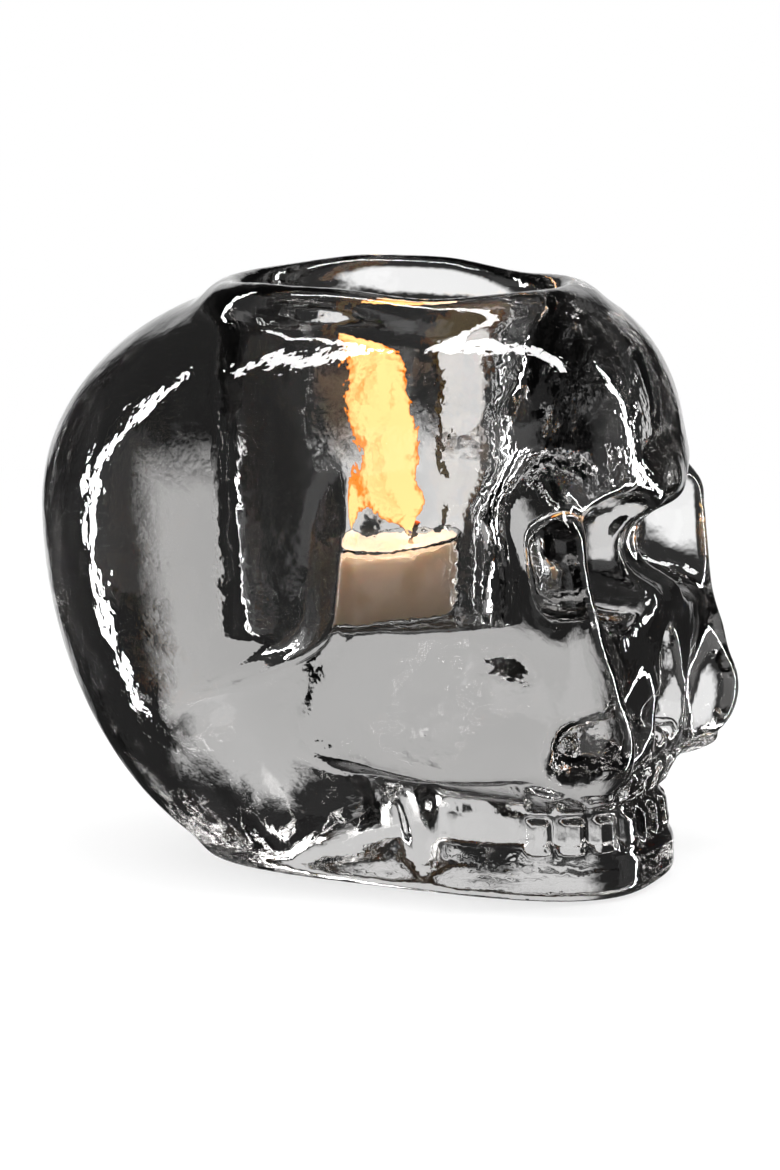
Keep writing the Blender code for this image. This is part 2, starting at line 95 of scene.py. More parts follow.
# Cheekbones, the arches behind them and the brow
CHEEK_CENTRE = (0.0290, -0.0489, 0.0330)
CHEEK_RADII = (0.0087, 0.0095, 0.0108)
CHEEK_BLEND = 0.008
ARCH_CENTRE = (0.0310, -0.0200, 0.0400)
ARCH_RADII = (0.0090, 0.0340, 0.0165)
ARCH_BLEND = 0.003
BROW_INNER = (0.0, -0.0505, 0.0785)
BROW_OUTER = (0.0290, -0.0400, 0.0780)
BROW_RADII = (0.0050, 0.0050)
BROW_BLEND = 0.010
PILLAR_FOOT = (0.0300, -0.0479, 0.0460)
PILLAR_HEAD = (0.0335, -0.0450, 0.0700)
PILLAR_RADII = (0.0050, 0.0045)
PILLAR_BLEND = 0.007
BRIDGE_TOP = (0.0, -0.0400, 0.0680)
BRIDGE_TIP = (0.0, -0.0480, 0.0520)
BRIDGE_RADII = (0.0045, 0.0040)
BRIDGE_BLEND = 0.004

# Hollows of the face: sockets, the dip above the nose, the nose opening and the hollows beside it
SOCKET_CENTRE = (0.0180, -0.0530, 0.0655)
SOCKET_RADII = (0.0128, 0.0170, 0.0120)
SOCKET_POWER = 2.3
SOCKET_DROOP = math.radians(10)
SOCKET_BLEND = 0.0035
DIP_CENTRE = (0.0, -0.0570, 0.0660)
DIP_RADII = (0.0090, 0.0120, 0.0085)
DIP_BLEND = 0.004
NOSE_WING_CENTRE = (0.0034, -0.0560, 0.0340)
NOSE_WING_RADII = (0.0042, 0.0085, 0.0065)
NOSE_PEAK_CENTRE = (0.0, -0.0560, 0.0420)
NOSE_PEAK_RADII = (0.0046, 0.0080, 0.0080)
NOSE_BLEND = 0.0020
HOLLOW_CENTRE = (0.0190, -0.0590, 0.0350)
HOLLOW_RADII = (0.0085, 0.0085, 0.0110)
HOLLOW_BLEND = 0.0040
TEMPLE_CENTRE = (0.0455, -0.0260, 0.0670)
TEMPLE_RADII = (0.0120, 0.0170, 0.0130)
TEMPLE_BLEND = 0.0060

# Side relief: the vault stands proud of the temple and the arch behind a step that runs from the ear
TEMPLE_INSET = 0.0040
TEMPLE_STEP_WIDTH = 0.0050
EAR = (0.0260, 0.0375)
STEP_CORNER = (0.0000, 0.0500)
STEP_TOP = (-0.0035, 0.0780)
STEP_FADE = 0.0160
STEP_GROOVE_DEPTH = 0.0022
STEP_GROOVE_WIDTH = 0.0044

# Jaw branch: the ridge down from the ear, and the one where the rows of teeth begin
BRANCH_TOP = (0.0345, 0.0240, 0.0320)
BRANCH_FOOT = (0.0175, 0.0140, 0.0060)
BRANCH_RADIUS = 0.0045
GUM_TOP = (0.0265, -0.0110, 0.0260)
GUM_FOOT = (0.0222, -0.0150, 0.0070)
GUM_RADIUS = 0.0030
RIDGE_BLEND = 0.004

# Teeth: two rows of rounded blocks round the jaw
TEETH_TURN_RADIUS = 1.2 * JAW_HALF_WIDTH
TOOTH_WIDTH = 0.0066
TEETH_PER_SIDE = 7
TEETH_BACK = -0.0335
TOOTH_BULGE = 0.0014
TOOTH_GAP = 0.0011
TEETH_BOTTOM = 0.0088
BITE_HEIGHT = 0.0168
TEETH_TOP = 0.0244

# Well for the candle, open at the top, and the lip round it. Its plan is an egg at the rim, and turns
# squarer from so far below the rim, over so much depth. Each fall of the lip is how far it comes down, the
# distance from the axis to the middle of the slope, and how long the slope is
WELL_FLOOR = 0.0485
RIM_HEIGHT = 0.1150
WELL_TOP_HALF_WIDTH = 0.0245
WELL_TOP_HALF_LENGTH = 0.0310
WELL_FLOOR_HALF_LENGTH = 0.0275
WELL_RIM_POWER = 2.2
WELL_BODY_POWER = 3.8
WELL_SQUARE_FROM = 0.0140
WELL_SQUARE_DEPTH = 0.0180
WELL_EGG = 0.12
WELL_FILLET = 0.0025
LIP_ROUNDING = 0.0028
LIP_RADIUS = 0.0032
LIP_OFFSET = 0.0027
LIP_BLEND = 0.0050
LIP_FALL_TO_BACK = (0.0030, 0.0290, 0.0240)
LIP_FALL_TO_FACE = (0.0024, 0.0080, 0.0240)

# Candle: a clear cup of wax with a cotton wick in a stamped metal holder
SEAT_GAP = 0.0003
CUP_RADIUS = 0.0193
CUP_HEIGHT = 0.0160
CUP_WALL = 0.0009
CUP_ROUNDING = 0.0012
WAX_BELOW_RIM = 0.0022
WAX_MENISCUS = 0.0006
WAX_POOL_RADIUS = 0.0120
WAX_POOL_DEPTH = 0.0010
HOLDER_RADIUS = 0.0070
HOLDER_THICKNESS = 0.0005
NECK_WALL = 0.0005
NECK_HEIGHT = 0.0040
WICK_RADIUS = 0.0008
WICK_ABOVE_WAX = 0.0075
WICK_BEND = 0.0020

# Heights of the candle, stacked up from the well's floor
CUP_FOOT = WELL_FLOOR + SEAT_GAP
WAX_BOTTOM = CUP_FOOT + CUP_WALL + SEAT_GAP
WAX_TOP = CUP_FOOT + CUP_HEIGHT - WAX_BELOW_RIM

# The well's floor takes the cup with this much room, inside the fillet
CUP_CLEARANCE = 0.0016
WELL_FLOOR_HALF_WIDTH = CUP_RADIUS + CUP_CLEARANCE + WELL_FILLET

# Mesh of the shown glass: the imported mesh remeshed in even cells, then settled on the forms
REST_STEPS = 3
LAST_STEPS = 3
EVENING = 0.5
SLOPE_STEP = 0.00005
LEAST_STEEPNESS = 0.10
LONGEST_STEP = 0.0010
LEAST_LEVEL = 1e-6
LEAST_MOVE = 1e-9
DOUBLE_DISTANCE = 1e-5

# Round pieces are turned in this many steps, with this many points to a rounded corner, and shaded as
# smooth up to this angle
TURN_STEPS = 96
CORNER_POINTS = 6
SHARP_ANGLE = math.radians(50)

# Shown cup: its rim is rolled outwards
RIM_ROLL = 0.0005

# Shown wax: its pool is flat out to the first share of its radius, and its edge reaches the second
POOL_FLAT = 0.8
POOL_EDGE = 1.08

# Wick: three strands twisted together, each turned so much from one point of the wick to the next
WICK_POINTS = 36
WICK_STRANDS = 3
WICK_STRAND_TURN = math.radians(38)
WICK_ROUND_POINTS = 24
WICK_LOBE = 0.16

# Flame: how far its foot is below the wick's tip, and half-widths from foot to tip as shares of the widest
FLAME_BELOW_TIP = 0.0050
FLAME_PROFILE = (
    (0.00, 0.06), (0.03, 0.20), (0.08, 0.32), (0.15, 0.46), (0.24, 0.68), (0.34, 0.91), (0.44, 1.00),
    (0.54, 0.96), (0.65, 0.80), (0.76, 0.56), (0.86, 0.32), (0.94, 0.14), (1.00, 0.0),
)
FLAME_SWAY = 0.0012
FLAME_BENDS = 2.5
FLAME_LEAN = 0.0100
FLAME_FLATNESS = 0.65

# Lamp in the flame: its power in watts, and its height as a share of the flame's
FLAME_LIGHT = 0.35
FLAME_LIGHT_UP = 0.4

# Camera: the photograph's direction, distance and framing
CAMERA_AZIMUTH = math.radians(-68.0)
CAMERA_ELEVATION = math.radians(10.1)
CAMERA_TARGET = (0.0, 0.0, 0.058)
CAMERA_DISTANCE = 0.988
CAMERA_SHIFT = (-0.0105, -0.0156)
SENSOR = 36.0
LENS = 157.8
NEAREST, FARTHEST = 0.05, 20.0

# Lamps: two upright strips a little behind the object and one overhead, as angles from the camera
STRIP_ANGLE = math.radians(103)
STRIP_DISTANCE = 0.60
STRIP_SIZE = (0.055, 0.90)
STRIP_HEIGHT = 0.10
TOP_SIZE = (0.90, 0.08)
TOP_DISTANCE = 0.60
TOP_ELEVATION = math.radians(79)

# Light that the glass sees: one white panel behind and one before the object, weaker ones at the sides,
# dark gaps between them and a dim table straight below. Halves and edges are shares of a direction's
# length, and levels are shares of white
PANEL_HALF = 0.31
PANEL_SOFT = 0.14
PANEL_TOP = 0.34
PANEL_BOTTOM = -0.23
GAP_LEVEL = 0.03
SIDE_HALF = 0.20
SIDE_LEVEL = 0.4
TABLE_FROM = -0.94
TABLE_LEVEL = 0.22

# Floor: how much of it near the object is plain white, and where it has turned all white
FLOOR_WHITE = 0.72
FLOOR_NEAR = 0.14
FLOOR_FAR = 0.50
FLOOR_DROP = 0.0003
FLOOR_RADIUS = 4.0

# Size of each finish's pattern, as on the real surface: the waves and wrinkles of pressed glass, the flow
# lines of moulded plastic, the mottle of wax, the press scratches, the cotton's fibres and the flame's licks
WAVE_SIZE = 0.0105
WRINKLE_SIZE = 0.0033
FLOW_LINE_SIZE = 0.0038
MOTTLE_SIZE = 0.0033
SCRATCH_SIZE = 0.0007
FIBRE_SIZE = 0.0004
LICK_SIZE = 0.0045

# Depth of those patterns
FLOW_LINE_DEPTH = 0.00002
MOTTLE_DEPTH = 0.00003
SCRATCH_DEPTH = 0.00001
FIBRE_DEPTH = 0.00006

# Each skin wave is this many ripples deep, and each wrinkle this many
WAVE_RIPPLES = 4.0
WRINKLE_RIPPLES = 1.2

# Refraction and roughness of the finishes
GLASS_IOR = 1.52
POLYCARBONATE_IOR = 1.58
WAX_IOR = 1.44
CUP_ROUGHNESS = 0.04
WAX_ROUGHNESS = 0.45
POOL_ROUGHNESS = 0.08
STEEL_ROUGHNESS = (0.25, 0.45)
COTTON_ROUGHNESS = 0.8

# Wax: the shade of its mottle, how deep it is melted, how light spreads in it, and the painted glow near
# its top and below, an emission that stands in for the flame's light falling on the wax
MOTTLE_SHADE = 0.92
MELTED_DEPTH = 0.004
WAX_SCATTER = 0.6
WAX_SCATTER_DEPTH = 0.004
WAX_SCATTER_COLOURS = (1.0, 0.7, 0.45)
WAX_PAINTED_GLOW = 0.25
WAX_PAINTED_GLOW_DEPTH = 0.012
WAX_PAINTED_GLOW_BELOW = 0.10

# Ember: where it starts, as a share of the wick above the wax, and its brightness
EMBER_FROM = 0.85
EMBER_GLOW = 2.0

# Flame's look: the softness of its edge, where it turns fully hot inside it, and how solid it looks in the
# middle and at the edge
FLAME_EDGE = 0.35
FLAME_HOT = 0.45
FLAME_MIDDLE_SOLID = 0.95
FLAME_EDGE_SOLID = 0.15


def linear(code):
    """A colour as Blender wants it, from its sRGB hex code."""
    shares = [int(code[i:i + 2], 16) / 255.0 for i in (0, 2, 4)]
    return (*(s / 12.92 if s <= 0.04045 else ((s + 0.055) / 1.055) ** 2.4 for s in shares), 1.0)


class GlassSettings(bpy.types.PropertyGroup):
    """Sizes and colours of the glass."""

    cell: bpy.props.FloatProperty(
        name="Cell", description="Size of the even cells of the glass's mesh", default=0.00095,
        min=0.0005, unit="LENGTH")
    absorption: bpy.props.FloatProperty(
        name="Absorption", description="How strongly the glass takes up light, per metre", default=15.0,
        min=0.0)
    ripple: bpy.props.FloatProperty(
        name="Ripple", description="Depth of the waves that pressing leaves in the surface",
        default=0.00012, min=0.0, unit="LENGTH")


class CandleSettings(bpy.types.PropertyGroup):
    """Sizes and colours of the cup candle."""

    wax_colour: bpy.props.FloatVectorProperty(
        name="Wax", description="Colour of the wax", subtype="COLOR", default=linear("EFE7DA")[:3],
        min=0.0, max=1.0)
    flame_height: bpy.props.FloatProperty(
        name="Flame height", description="Height of the flame", default=0.032, unit="LENGTH")
    flame_width: bpy.props.FloatProperty(
        name="Flame width", description="Widest part of the flame", default=0.0150, unit="LENGTH")
    flame_strength: bpy.props.FloatProperty(
        name="Flame strength", description="Brightness of the flame", default=1.6, min=0.0)


class StageSettings(bpy.types.PropertyGroup):
    """Light of the stage."""

    strip_power: bpy.props.FloatProperty(
        name="Strips", description="Power of each upright strip lamp, in watts", default=4.4, min=0.0)
    top_power: bpy.props.FloatProperty(
        name="Top", description="Power of the lamp overhead, in watts", default=4.6, min=0.0)
    fill: bpy.props.FloatProperty(
        name="Fill", description="Strength of the even light from all round", default=0.55, min=0.0)


def add_node(tree, kind, inputs=None, **settings):
    """A node with its settings, and a value or a link at each named input."""
    made = tree.nodes.new(kind)
    for name, value in settings.items():
        setattr(made, name, value)
    for name, value in (inputs or {}).items():
        socket = made.inputs[name]
        if isinstance(value, bpy.types.NodeSocket):
            tree.links.new(value, socket)
        else:
            socket.default_value = value
    return made


def eased(tree, value, start, end, low=0.0, high=1.0):
    """The value's smooth change from low at the start to high at the end."""
    return add_node(tree, "ShaderNodeMapRange", {
        "Value": value, "From Min": start, "From Max": end, "To Min": low, "To Max": high},
        interpolation_type="SMOOTHSTEP").outputs["Result"]


def new_material(name):
    """An empty node material, its tree and the output node."""
    made = bpy.data.materials.new(name)
    made.use_nodes = True
    made.node_tree.nodes.clear()
    return made, made.node_tree, add_node(made.node_tree, "ShaderNodeOutputMaterial")


def set_stops(ramp, stops):
    """Colours along a ramp, from its low end to its high one."""
    elements = ramp.color_ramp.elements
    while len(elements) < len(stops):
        elements.new(1.0)
    for element, (place, colour) in zip(elements, stops):
        element.position = place
        element.color = colour


# Distances: each form is a function that is negative inside it and about the distance outside it


def blob(p, centre, radii, power=2.0):
    """A rounded block about a centre: an ellipsoid at power 2, and squarer above it."""
    offsets = [axis - middle for axis, middle in zip(p, centre)]
    shares = [np.abs(offset) / radius for offset, radius in zip(offsets, radii)]
    level = sum(share**power for share in shares) ** (1.0 / power)
    level = np.maximum(level, LEAST_LEVEL)
    span = np.sqrt(sum(offset**2 for offset in offsets))
    return span * (1.0 - 1.0 / level)


def bar(p, start, end, start_radius, end_radius):
    """A round bar between two points, with a radius at each end."""
    along = [e - s for s, e in zip(start, end)]
    length_squared = sum(step**2 for step in along)
    offsets = [axis - s for axis, s in zip(p, start)]
    share = sum(offset * step for offset, step in zip(offsets, along)) / length_squared
    share = np.clip(share, 0.0, 1.0)
    gaps = [offset - share * step for offset, step in zip(offsets, along)]
    return np.sqrt(sum(gap**2 for gap in gaps)) - (start_radius + share * (end_radius - start_radius))


def join(a, b, blend):
    """Both forms, run together over the blend's width."""
    overlap = np.maximum(blend - np.abs(a - b), 0.0) / blend
    return np.minimum(a, b) - overlap**2 * blend / 4.0


def carve(a, b, blend):
    """The first form without the second, with a rounded edge."""
    return -join(-a, b, blend)


def ramp(distance, width):
    """0 to 1 as the distance crosses zero, smoothly over the width."""
    share = np.clip(distance / width + 0.5, 0.0, 1.0)
    return share * share * (3.0 - 2.0 * share)


def plan_outline(x, y, half_width, half_length, power):
    """Distance in plan to a rounded rectangle about the origin."""
    level = ((np.abs(x) / half_width) ** power + (np.abs(y) / half_length) ** power) ** (1.0 / power)
    level = np.maximum(level, LEAST_LEVEL)
    return np.sqrt(x**2 + y**2) * (1.0 - 1.0 / level)


def temple_step(p):
    """Distance behind and above the temple's step, and how strong the step is at each place."""
    x, y, z = p
    rise = (STEP_CORNER[1] - EAR[1]) / (STEP_CORNER[0] - EAR[0])
    above = (z - EAR[1] - (y - EAR[0]) * rise) / math.hypot(1.0, rise)
    lean = (STEP_TOP[0] - STEP_CORNER[0]) / (STEP_TOP[1] - STEP_CORNER[1])
    behind = (y - STEP_CORNER[0] - (z - STEP_CORNER[1]) * lean) / math.hypot(1.0, lean)
    fade = ramp(STEP_TOP[1] - z, STEP_FADE) * ramp(EAR[0] - y, STEP_FADE)
    side = ramp(x - VAULT_HALF_WIDTH / 2.0, VAULT_HALF_WIDTH / 2.0)
    return join(above, behind, TEMPLE_STEP_WIDTH), fade * side


def vault(p):
    """The cranium with its crown and forehead, and the temple's step in its sides."""
    drop = np.where(p[2] > VAULT_CENTRE[2], VAULT_RISE, VAULT_DROP)
    form = blob(p, VAULT_CENTRE, (VAULT_HALF_WIDTH, VAULT_HALF_LENGTH, drop), VAULT_POWER)
    form = join(form, blob(p, CROWN_CENTRE, CROWN_RADII, CROWN_POWER), CROWN_BLEND)
    form = join(form, blob(p, FOREHEAD_CENTRE, FOREHEAD_RADII, FOREHEAD_POWER), FOREHEAD_BLEND)
    step, strength = temple_step(p)
    form = form + TEMPLE_INSET * ramp(-step, TEMPLE_STEP_WIDTH) * strength
    form = form + STEP_GROOVE_DEPTH * np.exp(-((step / (STEP_GROOVE_WIDTH / 2.0)) ** 2)) * strength
    return carve(form, blob(p, TEMPLE_CENTRE, TEMPLE_RADII), TEMPLE_BLEND)


def rim_half_width(y):
    """Half the well's width at the rim, an egg with its narrow end to the face."""
    return WELL_TOP_HALF_WIDTH * (1.0 + WELL_EGG * np.clip(y / WELL_TOP_HALF_LENGTH, -1.0, 1.0))


def well_outline(x, y):
    """Distance in plan to the well's outline at the rim."""
    return plan_outline(x, y, rim_half_width(y), WELL_TOP_HALF_LENGTH, WELL_RIM_POWER)


def lip_fall(y, fall, middle, width):
    """How far the lip has come down at y: a fall spread over a width about its middle."""
    return fall * ramp(y - middle, width)


def lip(p):
    """The rounded lip round the opening, a little lower at the back and over the forehead."""
    crest = RIM_HEIGHT - LIP_RADIUS - lip_fall(p[1], *LIP_FALL_TO_BACK) - lip_fall(-p[1], *LIP_FALL_TO_FACE)
    return np.hypot(well_outline(p[0], p[1]) - LIP_OFFSET, p[2] - crest) - LIP_RADIUS


def jaw_outline(x, y):
    """Distance in plan to the jaw's outline, which narrows towards the chin."""
    centre = (JAW_FRONT + JAW_BACK) / 2.0
    half_length = (JAW_BACK - JAW_FRONT) / 2.0
    half_width = JAW_HALF_WIDTH * (1.0 + JAW_TAPER * np.clip((y - centre) / half_length, -1.0, 1.0))
    return plan_outline(x, y - centre, half_width, half_length, JAW_POWER)


def face(p):
    """Face block, jaw, cheekbones, arches, brow and nose bridge."""
    leaned = (p[0], p[1] - FACE_LEAN * (p[2] - FACE_CENTRE[2]), p[2])
    form = blob(leaned, FACE_CENTRE, FACE_RADII, FACE_POWER)
    form = join(form, blob(p, CHEEK_CENTRE, CHEEK_RADII), CHEEK_BLEND)
    form = join(form, blob(p, ARCH_CENTRE, ARCH_RADII), ARCH_BLEND)
    jaw = carve(jaw_outline(p[0], p[1] - JAW_LEAN * p[2]), JAW_TOP - p[2], JAW_ROUNDING)
    form = join(form, jaw, JAW_BLEND)
    form = join(form, bar(p, BRANCH_TOP, BRANCH_FOOT, BRANCH_RADIUS, BRANCH_RADIUS), RIDGE_BLEND)
    form = join(form, bar(p, GUM_TOP, GUM_FOOT, GUM_RADIUS, GUM_RADIUS), RIDGE_BLEND)
    form = join(form, bar(p, PILLAR_FOOT, PILLAR_HEAD, *PILLAR_RADII), PILLAR_BLEND)
    form = join(form, bar(p, BROW_INNER, BROW_OUTER, *BROW_RADII), BROW_BLEND)
    return join(form, bar(p, BRIDGE_TOP, BRIDGE_TIP, *BRIDGE_RADII), BRIDGE_BLEND)


def socket(p):
    """The eye socket, drooping to the outside."""
    across, rise = p[0] - SOCKET_CENTRE[0], p[2] - SOCKET_CENTRE[2]
    cosine, sine = math.cos(SOCKET_DROOP), math.sin(SOCKET_DROOP)
    turned_p = (
        SOCKET_CENTRE[0] + across * cosine - rise * sine,
        p[1],
        SOCKET_CENTRE[2] + across * sine + rise * cosine,
    )
    return blob(turned_p, SOCKET_CENTRE, SOCKET_RADII, SOCKET_POWER)


def tooth_relief(p):
    """How far the teeth stand out, from 0 in the gaps to 1 on a crown."""
    x, y, z = p
    along = np.arctan2(x, JAW_FRONT + TEETH_TURN_RADIUS - y) * TEETH_TURN_RADIUS
    place = np.abs(along / TOOTH_WIDTH % 1.0 - 0.5) * TOOTH_WIDTH
    crown = ramp(TOOTH_WIDTH / 2.0 - TOOTH_GAP - place, 2.0 * TOOTH_GAP)
    row = ramp(TEETH_PER_SIDE * TOOTH_WIDTH - along, TOOTH_GAP)
    inside = np.minimum(np.abs(z - BITE_HEIGHT), np.minimum(TEETH_TOP - z, z - TEETH_BOTTOM))
    return crown * row * ramp(inside - TOOTH_GAP, 2.0 * TOOTH_GAP) * ramp(TEETH_BACK - y, TOOTH_GAP * 2.0)


def outer_form(p):
    """The whole outside of the glass, without the well."""
    form = join(vault(p), face(p), FACE_BLEND)
    form = join(form, lip(p), LIP_BLEND)
    form = form - TOOTH_BULGE * tooth_relief(p)
    form = carve(form, blob(p, DIP_CENTRE, DIP_RADII), DIP_BLEND)
    form = carve(form, socket(p), SOCKET_BLEND)
    form = carve(form, blob(p, NOSE_WING_CENTRE, NOSE_WING_RADII), NOSE_BLEND)
    form = carve(form, blob(p, NOSE_PEAK_CENTRE, NOSE_PEAK_RADII), NOSE_BLEND)
    form = carve(form, blob(p, HOLLOW_CENTRE, HOLLOW_RADII), HOLLOW_BLEND)
    foot = carve(jaw_outline(p[0], p[1]) - FOOT_STEP, FOOT_HEIGHT - p[2], BASE_ROUNDING)
    form = join(form, foot, FOOT_BLEND)
    return carve(form, p[2], BASE_ROUNDING)


def well(p):
    """The candle well, which narrows towards its floor and is squarer below its rim."""
    share = (p[2] - WELL_FLOOR) / (RIM_HEIGHT - WELL_FLOOR)
    half_width = WELL_FLOOR_HALF_WIDTH + share * (rim_half_width(p[1]) - WELL_FLOOR_HALF_WIDTH)
    half_length = WELL_FLOOR_HALF_LENGTH + share * (WELL_TOP_HALF_LENGTH - WELL_FLOOR_HALF_LENGTH)
    square = ramp(RIM_HEIGHT - WELL_SQUARE_FROM - p[2], WELL_SQUARE_DEPTH)
    power = WELL_RIM_POWER + square * (WELL_BODY_POWER - WELL_RIM_POWER)
    wall = plan_outline(p[0], p[1], half_width, half_length, power)
    return carve(wall, p[2] - WELL_FLOOR, WELL_FILLET)


def glass(points):
    """Distance to the glass from an array of points, the same on both sides of the face."""
    p = (np.abs(points[..., 0]), points[..., 1], points[..., 2])
    return carve(outer_form(p), well(p), LIP_ROUNDING)


def slope_at(points):
    """The distance's slope, which points straight out of the glass at its surface."""
    steps = np.eye(3) * SLOPE_STEP
    slope = np.stack([glass(points + step) - glass(points - step) for step in steps], -1)
    return slope / (2.0 * SLOPE_STEP)


def onto_glass(points):
    """The points moved along the distance's slope to the surface of the glass."""
    slope = slope_at(points)
    steepness = np.maximum((slope**2).sum(-1, keepdims=True), LEAST_STEEPNESS)
    move = slope * glass(points)[..., None] / steepness
    length = np.maximum(np.linalg.norm(move, axis=-1, keepdims=True), LEAST_MOVE)
    return points - move * np.minimum(1.0, LONGEST_STEP / length)


def evened(points, quads):
    """Each point moved part of the way to the middle of its neighbours."""
    sums = np.zeros_like(points)
    counts = np.zeros(len(points))
    for ahead in (1, 3):
        np.add.at(sums, quads, points[np.roll(quads, ahead, axis=1)])
        np.add.at(counts, quads, 1.0)
    return points + EVENING * (sums / counts[:, None] - points)


def own_points(tree):
    """The Object coordinates that every pattern here reads."""
    return add_node(tree, "ShaderNodeTexCoord").outputs["Object"]


def smoked_glass(settings):
    """Pressed soda-lime glass tinted grey: clear and polished, darker the longer the way through it, with
    the shallow waves and the small wrinkles that the mould and the cooling skin leave."""
    made, tree, output = new_material("smoked_soda_lime_glass")
    place = own_points(tree)
    waves = add_node(tree, "ShaderNodeTexNoise", {"Vector": place, "Scale": 1.0 / WAVE_SIZE, "Detail": 1.0})
    wrinkles = add_node(tree, "ShaderNodeTexNoise", {
        "Vector": place, "Scale": 1.0 / WRINKLE_SIZE, "Detail": 2.0})
    slow = add_node(tree, "ShaderNodeBump", {
        "Strength": 1.0, "Distance": settings.ripple * WAVE_RIPPLES, "Height": waves.outputs["Fac"]})
    fine = add_node(tree, "ShaderNodeBump", {
        "Strength": 1.0, "Distance": settings.ripple * WRINKLE_RIPPLES, "Height": wrinkles.outputs["Fac"],
        "Normal": slow.outputs["Normal"]})
    shader = add_node(tree, "ShaderNodeBsdfPrincipled", {
        "Base Color": linear("FFFFFF"), "Roughness": 0.0, "IOR": GLASS_IOR, "Transmission Weight": 1.0,
        "Normal": fine.outputs["Normal"]})
    smoke = add_node(tree, "ShaderNodeVolumeAbsorption", {
        "Color": linear("A4A2A0"), "Density": settings.absorption})
    tree.links.new(shader.outputs[0], output.inputs["Surface"])
    tree.links.new(smoke.outputs[0], output.inputs["Volume"])
    return made


def clear_cup():
    """Moulded clear polycarbonate: thin, glossy, with faint flow lines up its wall."""
    made, tree, output = new_material("clear_polycarbonate")
    flow = add_node(tree, "ShaderNodeTexNoise", {
        "Vector": own_points(tree), "Scale": 1.0 / FLOW_LINE_SIZE, "Detail": 2.0})
    bump = add_node(tree, "ShaderNodeBump", {
        "Strength": 1.0, "Distance": FLOW_LINE_DEPTH, "Height": flow.outputs["Fac"]})
    shader = add_node(tree, "ShaderNodeBsdfPrincipled", {
        "Base Color": linear("F4F4F2"), "Roughness": CUP_ROUGHNESS, "IOR": POLYCARBONATE_IOR,
        "Transmission Weight": 1.0, "Normal": bump.outputs["Normal"]})
    tree.links.new(shader.outputs[0], output.inputs["Surface"])
    return made


def paraffin(colour, top):
    """Paraffin wax: milky and soft, glossy and a little clearer where the flame has melted its pool, with a
    painted glow of the flame's light that is strongest near its top.
    """
    made, tree, output = new_material("paraffin_wax")
    place = own_points(tree)
    mottle = add_node(tree, "ShaderNodeTexNoise", {
        "Vector": place, "Scale": 1.0 / MOTTLE_SIZE, "Detail": 3.0})
    height = add_node(tree, "ShaderNodeSeparateXYZ", {"Vector": place}).outputs["Z"]
    melted = add_node(tree, "ShaderNodeMapRange", {
        "Value": height, "From Min": top - MELTED_DEPTH, "From Max": top})
    tint = add_node(tree, "ShaderNodeValToRGB", {"Fac": mottle.outputs["Fac"]})
    set_stops(tint, [(0.3, (*[c * MOTTLE_SHADE for c in colour], 1.0)), (0.7, (*colour, 1.0))])
    gloss = add_node(tree, "ShaderNodeMapRange", {
        "Value": melted.outputs["Result"], "To Min": WAX_ROUGHNESS, "To Max": POOL_ROUGHNESS})
    # Painted glow: a warm emission, strongest near the wax top, that stands in for the flame's light on the
    # wax
    glow = add_node(tree, "ShaderNodeMapRange", {
        "Value": height, "From Min": top - WAX_PAINTED_GLOW_DEPTH, "From Max": top,
        "To Min": WAX_PAINTED_GLOW_BELOW, "To Max": WAX_PAINTED_GLOW})
    bump = add_node(tree, "ShaderNodeBump", {
        "Strength": 1.0, "Distance": MOTTLE_DEPTH, "Height": mottle.outputs["Fac"]})
    shader = add_node(tree, "ShaderNodeBsdfPrincipled", {
        "Base Color": tint.outputs["Color"], "Roughness": gloss.outputs["Result"], "IOR": WAX_IOR,
        "Subsurface Weight": WAX_SCATTER, "Subsurface Radius": WAX_SCATTER_COLOURS,
        "Subsurface Scale": WAX_SCATTER_DEPTH,
        "Normal": bump.outputs["Normal"], "Emission Color": linear("FFCFA4"),
        "Emission Strength": glow.outputs["Result"]})
    tree.links.new(shader.outputs[0], output.inputs["Surface"])
    return made


def tinned_steel():
    """Thin stamped steel with a tin coat: dull grey, with fine scratches from the press."""
    made, tree, output = new_material("tinned_steel_sheet")
    place = own_points(tree)
    scratches = add_node(tree, "ShaderNodeTexNoise", {
        "Vector": place, "Scale": 1.0 / SCRATCH_SIZE, "Detail": 3.0})
    rough = add_node(tree, "ShaderNodeMapRange", {
        "Value": scratches.outputs["Fac"], "To Min": STEEL_ROUGHNESS[0], "To Max": STEEL_ROUGHNESS[1]})
    bump = add_node(tree, "ShaderNodeBump", {
        "Strength": 1.0, "Distance": SCRATCH_DEPTH, "Height": scratches.outputs["Fac"]})
    shader = add_node(tree, "ShaderNodeBsdfPrincipled", {
        "Base Color": linear("C9C9C6"), "Metallic": 1.0, "Roughness": rough.outputs["Result"],
        "Normal": bump.outputs["Normal"]})
    tree.links.new(shader.outputs[0], output.inputs["Surface"])
    return made


